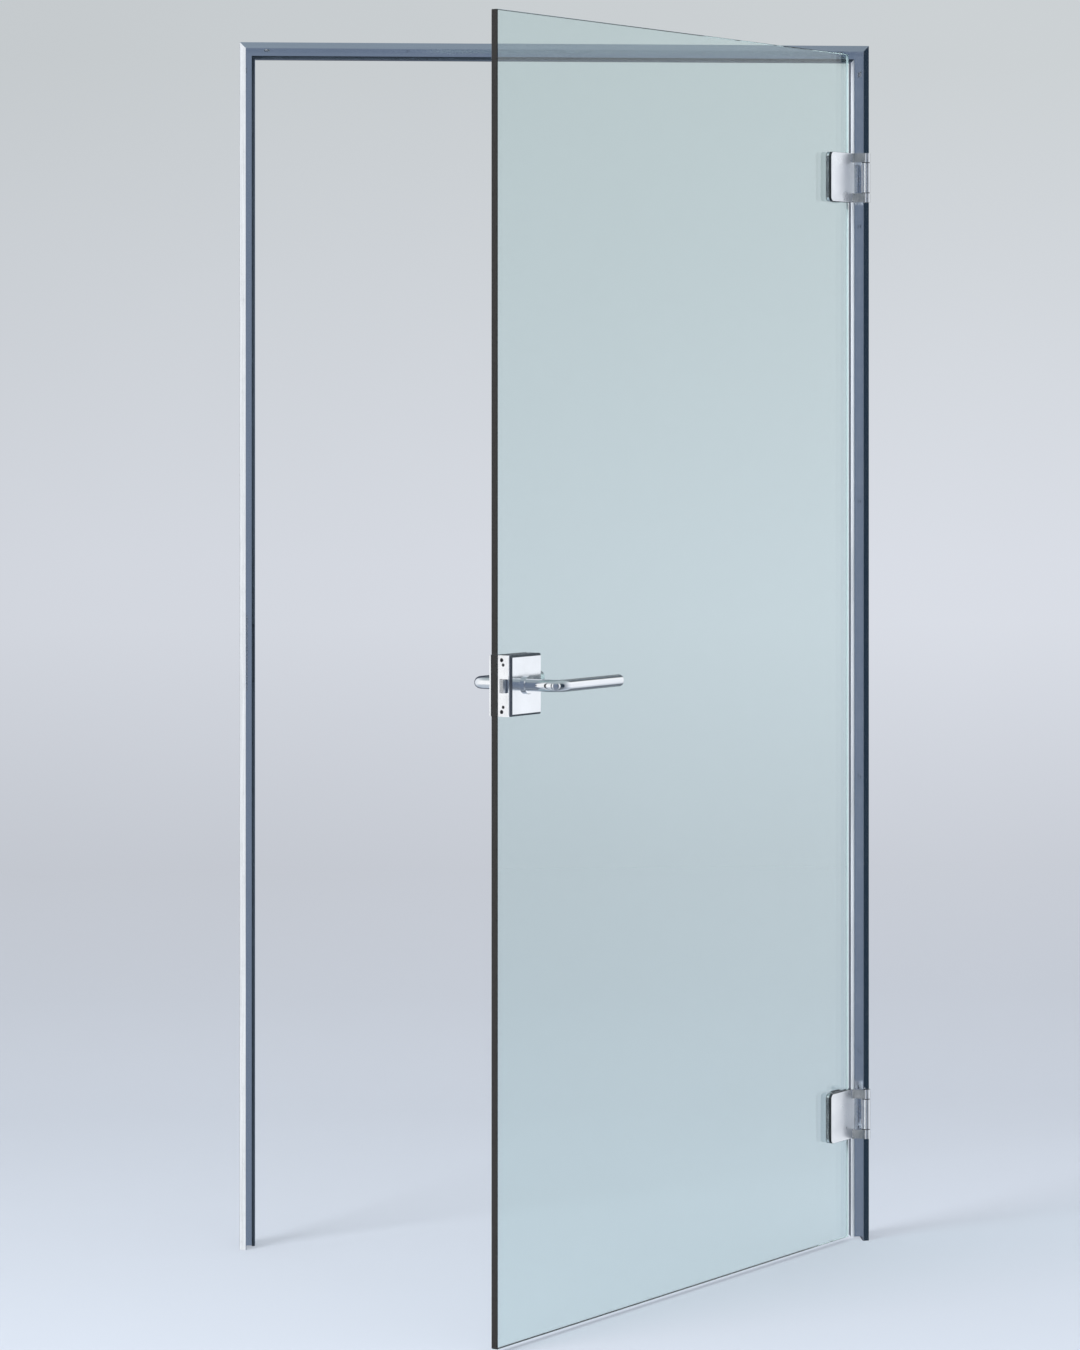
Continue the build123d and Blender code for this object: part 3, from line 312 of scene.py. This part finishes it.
def drawn_metal(name, tone, roughness, stretch, turn=0.0):
    """Metal with fine lines along its length, faint handling marks and uneven gloss."""
    material, tree, shader = fresh_material(name)
    lines = noise(tree, object_space(tree, stretch, turn), scale=420.0, detail=3.0, rough=0.6)
    clouds = noise(tree, object_space(tree), scale=7.0, detail=5.0, rough=0.6)
    marks = noise(tree, object_space(tree), scale=55.0, detail=6.0, rough=0.7)
    tint = mixed(tree, spread(tree, lines, low=0.0, high=0.55), tone, darker(tone, 0.10))
    tint = mixed(tree, spread(tree, clouds, low=0.0, high=0.35), tint, darker(tone, 0.14))
    tree.links.new(tint, shader.inputs["Base Color"])
    gloss = maths(
        tree, "ADD", spread(tree, lines, low=roughness * 0.8, high=roughness * 1.25),
        spread(tree, marks, low=0.0, high=roughness * 0.35, start=0.5, end=0.75),
    )
    tree.links.new(gloss, shader.inputs["Roughness"])
    shader.inputs["Metallic"].default_value = 1.0
    bumped(tree, shader, lines, strength=0.05, distance=0.0002)
    return material


def facing_share(tree):
    """How squarely a point of a leaf fitting or of the pane faces out of the leaf, 0 to 1."""
    geometry = tree.nodes.new("ShaderNodeNewGeometry")
    turn = tree.nodes.new("ShaderNodeVectorTransform")
    turn.vector_type = "NORMAL"
    turn.convert_from = "WORLD"
    turn.convert_to = "OBJECT"
    tree.links.new(geometry.outputs["True Normal"], turn.inputs["Vector"])
    return maths(tree, "ABSOLUTE", reach_along(tree, turn.outputs["Vector"], TO_PULL))


def polished_metal(name, tone, roughness, painted_side_reflection=None):
    """Bright metal with polishing haze and hairline scratches, and where given a painted dark reflection on its
    sides.
    """
    material, tree, shader = fresh_material(name)
    haze = noise(tree, object_space(tree), scale=26.0, detail=6.0, rough=0.62)
    grain = noise(tree, object_space(tree, (1.0, 1.0, 9.0), LEAF_TURN), scale=900.0, detail=2.0, rough=0.5)
    tint = mixed(tree, spread(tree, haze, low=0.0, high=0.5), tone, darker(tone, 0.12))
    # Painted dark reflection: faces that do not look out of the leaf take the dark side tone
    if painted_side_reflection:
        face_share = spread(tree, facing_share(tree), low=0.0, high=1.0, start=0.80, end=0.92)
        tint = mixed(tree, face_share, painted_side_reflection, tint)
    tree.links.new(tint, shader.inputs["Base Color"])
    gloss = maths(
        tree, "ADD", spread(tree, haze, low=roughness * 0.7, high=roughness * 1.3),
        spread(tree, grain, low=0.0, high=roughness * 0.4),
    )
    tree.links.new(gloss, shader.inputs["Roughness"])
    shader.inputs["Metallic"].default_value = 1.0
    bumped(tree, shader, grain, strength=0.03, distance=0.0001)
    return material


def turned_steel(name, tone, roughness):
    """Small steel pieces with the mottle of their plating."""
    material, tree, shader = fresh_material(name)
    mottle = noise(tree, object_space(tree), scale=380.0, detail=4.0, rough=0.6)
    tint = mixed(tree, spread(tree, mottle, low=0.0, high=0.7), tone, darker(tone, 0.28))
    tree.links.new(tint, shader.inputs["Base Color"])
    gloss = spread(tree, mottle, low=roughness * 0.75, high=roughness * 1.3)
    tree.links.new(gloss, shader.inputs["Roughness"])
    shader.inputs["Metallic"].default_value = 1.0
    bumped(tree, shader, mottle, strength=0.12, distance=0.0001)
    return material


def black_oxide(name, tone):
    """Oxide-black steel with worn bright flecks."""
    material, tree, shader = fresh_material(name)
    flecks = noise(tree, object_space(tree), scale=900.0, detail=3.0, rough=0.6)
    tint = mixed(tree, spread(tree, flecks, low=0.0, high=0.5, start=0.62, end=0.75), tone, FLECK_TONE)
    tree.links.new(tint, shader.inputs["Base Color"])
    tree.links.new(spread(tree, flecks, low=0.32, high=0.5), shader.inputs["Roughness"])
    shader.inputs["Metallic"].default_value = 0.4
    return material


def soft_rubber(name, tone, roughness):
    """Matte rubber with a fine skin and dust in patches."""
    material, tree, shader = fresh_material(name)
    skin = noise(tree, object_space(tree), scale=1500.0, detail=3.0, rough=0.6)
    dust = noise(tree, object_space(tree, (1.0, 1.0, 5.0)), scale=18.0, detail=5.0, rough=0.6)
    dusty = tuple(value * 1.6 + 0.012 for value in tone)
    tint = mixed(tree, spread(tree, dust, low=0.0, high=0.6), tone, dusty)
    tree.links.new(tint, shader.inputs["Base Color"])
    gloss = spread(tree, skin, low=roughness * 0.9, high=roughness * 1.15)
    tree.links.new(gloss, shader.inputs["Roughness"])
    bumped(tree, shader, skin, strength=0.2, distance=0.0001)
    return material


def moulded_plastic(name, tone):
    """Dark moulded plastic."""
    material, tree, shader = fresh_material(name)
    skin = noise(tree, object_space(tree), scale=700.0, detail=4.0, rough=0.6)
    tint = mixed(tree, spread(tree, skin, low=0.0, high=0.5), tone, darker(tone, 0.3))
    tree.links.new(tint, shader.inputs["Base Color"])
    tree.links.new(spread(tree, skin, low=0.42, high=0.58), shader.inputs["Roughness"])
    bumped(tree, shader, skin, strength=0.15, distance=0.0001)
    return material


def clear_pane(name, pane, edge, arris, ground, ground_from):
    """Float glass: a faint tint through the faces, near-black polished edges, a pale ground hinge edge."""
    material, tree, shader = fresh_material(name)
    face_share = facing_share(tree)
    wash = noise(tree, object_space(tree), scale=1.3, detail=3.0, rough=0.5)
    pane_colour = mixed(tree, spread(tree, wash, low=0.0, high=0.5), pane, darker(pane, 0.025))
    edge_lines = noise(tree, object_space(tree, (1.0, 1.0, 30.0)), scale=600.0, detail=2.0, rough=0.5)
    light_edge = tuple(value * 2.2 for value in edge)
    edge_colour = mixed(tree, spread(tree, edge_lines, low=0.0, high=1.0), edge, light_edge)
    rim = mixed(tree, spread(tree, face_share, low=0.0, high=1.0, start=0.3, end=0.5), edge_colour, arris)
    tint = mixed(tree, spread(tree, face_share, low=0.0, high=1.0, start=0.88, end=0.95), rim, pane_colour)
    tree.links.new(tint, shader.inputs["Base Color"])
    shader.inputs["Roughness"].default_value = 0.0
    shader.inputs["IOR"].default_value = 1.5
    shader.inputs["Transmission Weight"].default_value = 1.0
    shine = spread(tree, face_share, low=0.12, high=0.5, start=0.3, end=0.9)
    tree.links.new(shine, shader.inputs["Specular IOR Level"])

    matte = tree.nodes.new("ShaderNodeBsdfDiffuse")
    matte.inputs["Color"].default_value = (*ground, 1.0)
    near_hinge = maths(tree, "GREATER_THAN", reach_along(tree, position(tree), TO_HINGE), ground_from)
    on_edge = maths(tree, "LESS_THAN", face_share, 0.3)
    at_hinge = maths(tree, "MULTIPLY", near_hinge, on_edge)
    body = mixed_shaders(tree, at_hinge, shader.outputs[0], matte.outputs[0])

    # Light on its way to other pieces goes straight through
    light = tree.nodes.new("ShaderNodeLightPath")
    through = tree.nodes.new("ShaderNodeBsdfTransparent")
    tree.links.new(tint, through.inputs["Color"])
    finish_surface(tree, mixed_shaders(tree, light.outputs["Is Shadow Ray"], body, through.outputs[0]))
    return material


def dress(names, material):
    """Gives CAD nodes one finish."""
    for name in names:
        piece = NODES[name]
        piece.data.materials.clear()
        piece.data.materials.append(material)


def named(*endings):
    """The CAD nodes whose names end in one of some words."""
    found = sorted(name for name in NODES if name.endswith(endings))
    if not found:
        raise RuntimeError(f"no node ends in {endings}")
    return found


class DOOR_OT_frame_profiles(bpy.types.Operator):
    """Dress the two jambs, the header and the cleats inside their corners"""

    bl_idname = "glass_door.frame_profiles"
    bl_label = "Frame profiles"

    def execute(self, context):
        look = context.scene.door_finishes
        upright = drawn_metal("satin_upright", look.frame_metal, look.frame_roughness, (1.0, 1.0, 60.0))
        level = drawn_metal("satin_header", look.frame_metal, look.frame_roughness, (60.0, 1.0, 1.0))
        raw = drawn_metal("mill_aluminium", slot_colour("raw_aluminium"), 0.35, (1.0, 1.0, 20.0))
        dress(["jamb_hinge_side", "jamb_lock_side"], upright)
        dress(["header_profile"], level)
        dress(["corner_cleat_hinge_side", "corner_cleat_lock_side"], raw)
        return {"FINISHED"}


class DOOR_OT_seals(bpy.types.Operator):
    """Dress the seals in the stops and the sheets under the fittings"""

    bl_idname = "glass_door.seals"
    bl_label = "Seals and gaskets"

    def execute(self, context):
        look = context.scene.door_finishes
        # The lock side and header seals carry painted shade; the hinge side seal shows the rubber's own pale tone
        dress(["seal_lock_side", "seal_header"], soft_rubber("seal_rubber", look.seal_tone, 0.6))
        dress(["seal_hinge_side"], soft_rubber("pale_seal_rubber", look.pale_seal_tone, 0.5))
        dress(named("gasket_pull", "gasket_push"), soft_rubber("gasket_sheet", look.gasket_tone, 0.7))
        return {"FINISHED"}


class DOOR_OT_pane(bpy.types.Operator):
    """Dress the glass leaf"""

    bl_idname = "glass_door.pane"
    bl_label = "Glass leaf"

    def execute(self, context):
        look = context.scene.door_finishes
        reach = max(vertex.co.dot(TO_HINGE) for vertex in NODES["glass_leaf"].data.vertices)
        dress(["glass_leaf"], clear_pane("clear_pane", look.pane_tint, look.edge_tint, look.arris_tint,
                                         look.ground_tone, reach - GROUND_EDGE_DEPTH))
        return {"FINISHED"}


class DOOR_OT_hinges(bpy.types.Operator):
    """Dress the two hinges, their pins and bushes"""

    bl_idname = "glass_door.hinges"
    bl_label = "Hinges"

    def execute(self, context):
        look = context.scene.door_finishes
        bright = polished_metal("polished_hinge", look.fitting_metal, look.fitting_roughness)
        steel = turned_steel("hinge_steel", look.screw_metal, 0.28)
        # The covers' sides carry a painted dark reflection
        satin = polished_metal("satin_cover_side_reflection", look.fitting_metal, look.cover_roughness, look.cover_side_reflection)
        dress(named("leaf_body", "frame_part", "counter_plate"), bright)
        dress(named("_cover"), satin)
        dress(named("backing_plate", "_pin"), steel)
        dress(named("bushes"), moulded_plastic("bush_plastic", look.bush_tone))
        return {"FINISHED"}


class DOOR_OT_patch_lock(bpy.types.Operator):
    """Dress the lock's case, forend, collars, strike and inner pieces"""

    bl_idname = "glass_door.patch_lock"
    bl_label = "Patch lock"

    def execute(self, context):
        look = context.scene.door_finishes
        bright = polished_metal("polished_lock", look.fitting_metal, look.fitting_roughness)
        steel = turned_steel("lock_steel", look.screw_metal, 0.28)
        # The case's bevels and sides carry a painted dark reflection
        case = polished_metal("polished_case_side_reflection", look.fitting_metal, look.fitting_roughness, look.case_side_reflection)
        dress(["lock_base", "lock_forend", "lock_collar_pull", "lock_collar_push"], bright)
        dress(["lock_case"], case)
        dress(["strike_plate", "spindle", "follower", "lever_spring"], steel)
        dress(["latch_bolt"], turned_steel("latch_steel", look.latch_metal, 0.22))
        return {"FINISHED"}


class DOOR_OT_latch_spring(bpy.types.Operator):
    """Make the coil behind the latch bolt as a piece of its own, carried by the leaf"""

    bl_idname = "glass_door.latch_spring"
    bl_label = "Latch spring"

    def execute(self, context):
        solid = NODES["latch_spring"]
        coil = bpy.data.objects.new("latch_spring_coil", solid.data.copy())
        context.scene.collection.objects.link(coil)
        steel = turned_steel("spring_steel", context.scene.door_finishes.screw_metal, 0.28)
        coil.data.materials.clear()
        coil.data.materials.append(steel)
        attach(coil, "leaf")
        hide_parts("latch_spring")
        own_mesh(coil)
        return {"FINISHED"}


class DOOR_OT_levers(bpy.types.Operator):
    """Dress the two lever handles"""

    bl_idname = "glass_door.levers"
    bl_label = "Lever handles"

    def execute(self, context):
        look = context.scene.door_finishes
        bar = drawn_metal(
            "polished_lever", look.handle_metal, look.handle_roughness, (30.0, 1.0, 1.0), LEAF_TURN
        )
        dress(["lever_pull", "lever_push"], bar)
        return {"FINISHED"}


class DOOR_OT_screws(bpy.types.Operator):
    """Dress every screw"""

    bl_idname = "glass_door.screws"
    bl_label = "Screws"

    def execute(self, context):
        look = context.scene.door_finishes
        plain = [name for name in named("screws") if name not in ("lock_set_screws", "lock_forend_screws")]
        dress(plain, turned_steel("screw_steel", look.screw_metal, 0.3))
        # The forend screws carry the painted shade of their recesses
        dress(["lock_forend_screws"], turned_steel("dark_steel_painted_shade", look.forend_screw_shade, 0.35))
        dress(["lock_set_screws"], black_oxide("black_oxide", look.black_metal))
        return {"FINISHED"}


def seen_share(tree):
    """1 for rays from the camera, a mirror or through glass, otherwise 0."""
    light = tree.nodes.new("ShaderNodeLightPath")
    seen = maths(tree, "MAXIMUM", light.outputs["Is Camera Ray"], light.outputs["Is Glossy Ray"])
    return maths(tree, "MAXIMUM", seen, light.outputs["Is Transmission Ray"])


def paper_material(studio):
    """Backdrop and floor in one sweep, which keeps soft shadows and hides nothing from behind."""
    material, tree, shader = fresh_material("studio_paper")
    place = axes(tree, position(tree))
    sweep_middle = studio.sweep_start + studio.sweep_radius * 0.6
    depth = spread(tree, place["Y"], low=0.0, high=1.0, start=-1.0, end=sweep_middle)
    rise = spread(tree, place["Z"], low=0.0, high=1.0, start=0.15, end=0.95)
    height = spread(tree, place["Z"], low=0.0, high=1.0, start=1.1, end=2.3)
    # Painted shade: the paper darkens towards the left
    leftward = spread(tree, place["X"], low=0.20, high=0.0, start=-2.2, end=0.6)
    mottle = noise(tree, object_space(tree), scale=0.9, detail=4.0, rough=0.5)
    # Painted shade: the one paper is darker in the sweep band and near the top of the backdrop
    ground = mixed(tree, depth, studio.floor_tone, studio.sweep_tone)
    wall = mixed(tree, rise, ground, studio.backdrop_tone)
    wall = mixed(tree, height, wall, studio.backdrop_top)
    wall = mixed(tree, leftward, wall, SHADED_PAPER)
    tone = mixed(tree, spread(tree, mottle, low=0.0, high=1.0), wall, mixed(tree, 0.04, wall, PAPER_MOTTLE))
    tree.links.new(tone, shader.inputs["Base Color"])
    shader.inputs["Roughness"].default_value = 0.9

    glow = tree.nodes.new("ShaderNodeEmission")
    tree.links.new(tone, glow.inputs["Color"])
    glow_share = spread(tree, place["Z"], low=0.55, high=1.0, start=0.0, end=0.4)
    seen = maths(tree, "MULTIPLY", seen_share(tree), glow_share)
    paper = mixed_shaders(tree, seen, shader.outputs[0], glow.outputs[0])

    # See-through from its back and after a mirror
    light = tree.nodes.new("ShaderNodeLightPath")
    side = tree.nodes.new("ShaderNodeNewGeometry")
    clear = tree.nodes.new("ShaderNodeBsdfTransparent")
    mirrored = maths(tree, "GREATER_THAN", light.outputs["Glossy Depth"], 0.5)
    hidden = maths(tree, "MAXIMUM", mirrored, side.outputs["Backfacing"])
    finish_surface(tree, mixed_shaders(tree, hidden, paper, clear.outputs[0]))
    return material


def sweep_mesh(studio):
    """Floor, quarter-round sweep and backdrop as one smooth strip, and more floor behind it."""
    start, radius, half = studio.sweep_start, studio.sweep_radius, studio.stage_width / 2
    line = [(y, 0.0) for y in (-FLOOR_REACH, *FLOOR_ROWS, start)]
    foot = 2 * (len(line) - 1)
    for step in range(1, SWEEP_STEPS + 1):
        angle = math.pi / 2 * step / SWEEP_STEPS
        line.append((start + radius * math.sin(angle), radius - radius * math.cos(angle)))
    line.append((start + radius, BACKDROP_HEIGHT))
    middle = (CAD_BOX[0][0] + CAD_BOX[1][0]) / 2
    points = [(middle + side * half, y, z) for y, z in line for side in (-1, 1)]
    faces = [(2 * i, 2 * i + 1, 2 * i + 3, 2 * i + 2) for i in range(len(line) - 1)]
    far = len(points)
    points += [(middle - half, FLOOR_REACH, 0.0), (middle + half, FLOOR_REACH, 0.0)]
    faces.append((foot, foot + 1, far + 1, far))
    mesh = bpy.data.meshes.new("studio_sweep")
    mesh.from_pydata(points, [], faces)
    mesh.shade_smooth()
    return mesh


def area_lamp(name, place, aim, size, power, tone):
    """A soft rectangular lamp, which neither metal nor glass shows."""
    data = bpy.data.lights.new(name, "AREA")
    data.shape = "RECTANGLE"
    data.size, data.size_y = size
    data.energy = power
    data.color = tone
    lamp = bpy.data.objects.new(name, data)
    lamp.location = place
    lamp.rotation_euler = (Vector(aim) - Vector(place)).to_track_quat("-Z", "Y").to_euler()
    lamp.visible_glossy = False
    lamp.visible_transmission = False
    bpy.context.scene.collection.objects.link(lamp)


# Ring of light and dark panels round the door, by share of the turn from -X over -Y, +X and +Y
ROOM_TONES = (
    (0.000, (1.00, 1.00, 1.00)),
    (0.051, (1.00, 1.00, 1.00)),
    (0.053, (0.015, 0.018, 0.022)),
    (0.080, (0.015, 0.018, 0.022)),
    (0.086, (1.00, 1.00, 1.00)),
    (0.166, (1.00, 1.00, 1.00)),
    (0.168, (0.06, 0.08, 0.10)),
    (0.184, (0.06, 0.08, 0.10)),
    (0.188, (1.00, 1.00, 1.00)),
    (0.204, (1.00, 1.00, 1.00)),
    (0.211, (0.14, 0.17, 0.22)),
    (0.230, (0.18, 0.22, 0.29)),
    (0.275, (0.16, 0.20, 0.27)),
    (0.300, (0.05, 0.06, 0.08)),
    (0.310, (0.90, 0.92, 0.95)),
    (0.326, (0.90, 0.92, 0.95)),
    (0.335, (0.018, 0.032, 0.050)),
    (0.395, (0.018, 0.032, 0.050)),
    (0.410, (0.30, 0.33, 0.37)),
    (0.500, (0.76, 0.79, 0.84)),
    (0.560, (0.93, 0.95, 0.98)),
    (0.588, (0.98, 1.00, 1.00)),
    (0.604, (0.03, 0.04, 0.05)),
    (0.800, (0.08, 0.09, 0.12)),
    (0.840, (0.75, 0.79, 0.84)),
    (1.000, (1.00, 1.00, 1.00)),
)
CEILING_TONE = (0.36, 0.42, 0.44)
GROUND_TONE = (0.52, 0.57, 0.63)
AROUND_TONE = (0.655, 0.690, 0.760)


def room_world():
    """A soft studio room seen in the metal: a ring of light and dark panels, grey ceiling, pale ground."""
    world = bpy.data.worlds.new("studio_room")
    world.use_nodes = True
    bpy.context.scene.world = world
    tree = world.node_tree
    back = tree.nodes["Background"]
    place = axes(tree, tree.nodes.new("ShaderNodeTexCoord").outputs["Generated"])
    angle = maths(tree, "ARCTAN2", place["Y"], place["X"])
    share = maths(tree, "MULTIPLY_ADD", angle, 1.0 / (2.0 * math.pi), 0.5)
    ramp = tree.nodes.new("ShaderNodeValToRGB")
    stops = ramp.color_ramp.elements
    while len(stops) < len(ROOM_TONES):
        stops.new(0.5)
    for stop, (position, tone) in zip(stops, ROOM_TONES):
        stop.position = position
        stop.color = (*tone, 1.0)
    tree.links.new(share, ramp.inputs[0])
    upward = spread(tree, place["Z"], low=0.0, high=1.0, start=0.45, end=0.85)
    downward = spread(tree, place["Z"], low=1.0, high=0.0, start=-0.5, end=-0.2)
    ground = mixed(tree, 0.75, GROUND_TONE, ramp.outputs["Color"])
    ground.node.blend_type = "MULTIPLY"
    room = mixed(tree, downward, mixed(tree, upward, ramp.outputs["Color"], CEILING_TONE), ground)

    # Seen directly or through the glass it is one plain tone
    light = tree.nodes.new("ShaderNodeLightPath")
    bounces = maths(tree, "ADD", light.outputs["Glossy Depth"], light.outputs["Diffuse Depth"])
    direct = maths(tree, "LESS_THAN", bounces, 0.5)
    tree.links.new(mixed(tree, direct, room, AROUND_TONE), back.inputs["Color"])
    back.inputs["Strength"].default_value = 1.15


class DOOR_OT_stage(bpy.types.Operator):
    """Build the floor, backdrop, lamps and camera"""

    bl_idname = "glass_door.stage"
    bl_label = "Stage"

    def execute(self, context):
        studio = context.scene.door_studio
        sweep = bpy.data.objects.new("studio_sweep", sweep_mesh(studio))
        sweep.data.materials.append(paper_material(studio))
        sweep.visible_glossy = False
        context.scene.collection.objects.link(sweep)
        room_world()
        area_lamp("top_lamp", TOP_LAMP_PLACE, TOP_LAMP_AIM, TOP_LAMP_SIZE, studio.top_lamp, WARM_LIGHT)
        area_lamp("side_lamp", SIDE_LAMP_PLACE, SIDE_LAMP_AIM, SIDE_LAMP_SIZE, studio.side_lamp, COOL_LIGHT)
        data = bpy.data.cameras.new("camera")
        data.sensor_fit = "VERTICAL"
        data.sensor_height = 36.0
        data.lens = 113.54
        data.shift_y = -0.2084
        data.clip_end = 60.0
        camera = bpy.data.objects.new("camera", data)
        camera.location = CAMERA_PLACE
        camera.rotation_euler = (math.radians(90.0), 0.0, CAMERA_HEADING)
        context.scene.collection.objects.link(camera)
        context.scene.camera = camera
        return {"FINISHED"}


class DOOR_PT_panel(bpy.types.Panel):
    """Lists the door's operators and finishes"""

    bl_idname = "DOOR_PT_panel"
    bl_label = "Glass Door"
    bl_space_type = "VIEW_3D"
    bl_region_type = "UI"
    bl_category = "Glass Door"

    def draw(self, context):
        layout = self.layout
        for operator in STEPS:
            layout.operator(operator.bl_idname)
        for group in (context.scene.door_finishes, context.scene.door_studio):
            for name in group.bl_rna.properties.keys():
                if name not in ("rna_type", "name"):
                    layout.prop(group, name)


STEPS = (
    DOOR_OT_frame_profiles,
    DOOR_OT_seals,
    DOOR_OT_pane,
    DOOR_OT_hinges,
    DOOR_OT_patch_lock,
    DOOR_OT_latch_spring,
    DOOR_OT_levers,
    DOOR_OT_screws,
    DOOR_OT_stage,
)
CLASSES = (DoorFinishes, DoorStudio, *STEPS, DOOR_PT_panel)


def register():
    """Registers the classes and hangs the settings on the scene."""
    for item in CLASSES:
        bpy.utils.register_class(item)
    bpy.types.Scene.door_finishes = PointerProperty(type=DoorFinishes)
    bpy.types.Scene.door_studio = PointerProperty(type=DoorStudio)


def unregister():
    """Takes the settings and classes away again."""
    del bpy.types.Scene.door_studio
    del bpy.types.Scene.door_finishes
    for item in reversed(CLASSES):
        bpy.utils.unregister_class(item)


def main():
    """Dresses the door."""
    register()
    bpy.context.scene.view_settings.view_transform = "Standard"
    bpy.ops.glass_door.frame_profiles()
    bpy.ops.glass_door.seals()
    bpy.ops.glass_door.pane()
    bpy.ops.glass_door.hinges()
    bpy.ops.glass_door.patch_lock()
    bpy.ops.glass_door.latch_spring()
    bpy.ops.glass_door.levers()
    bpy.ops.glass_door.screws()
    bpy.ops.glass_door.stage()


if __name__ == "__main__":
    main()
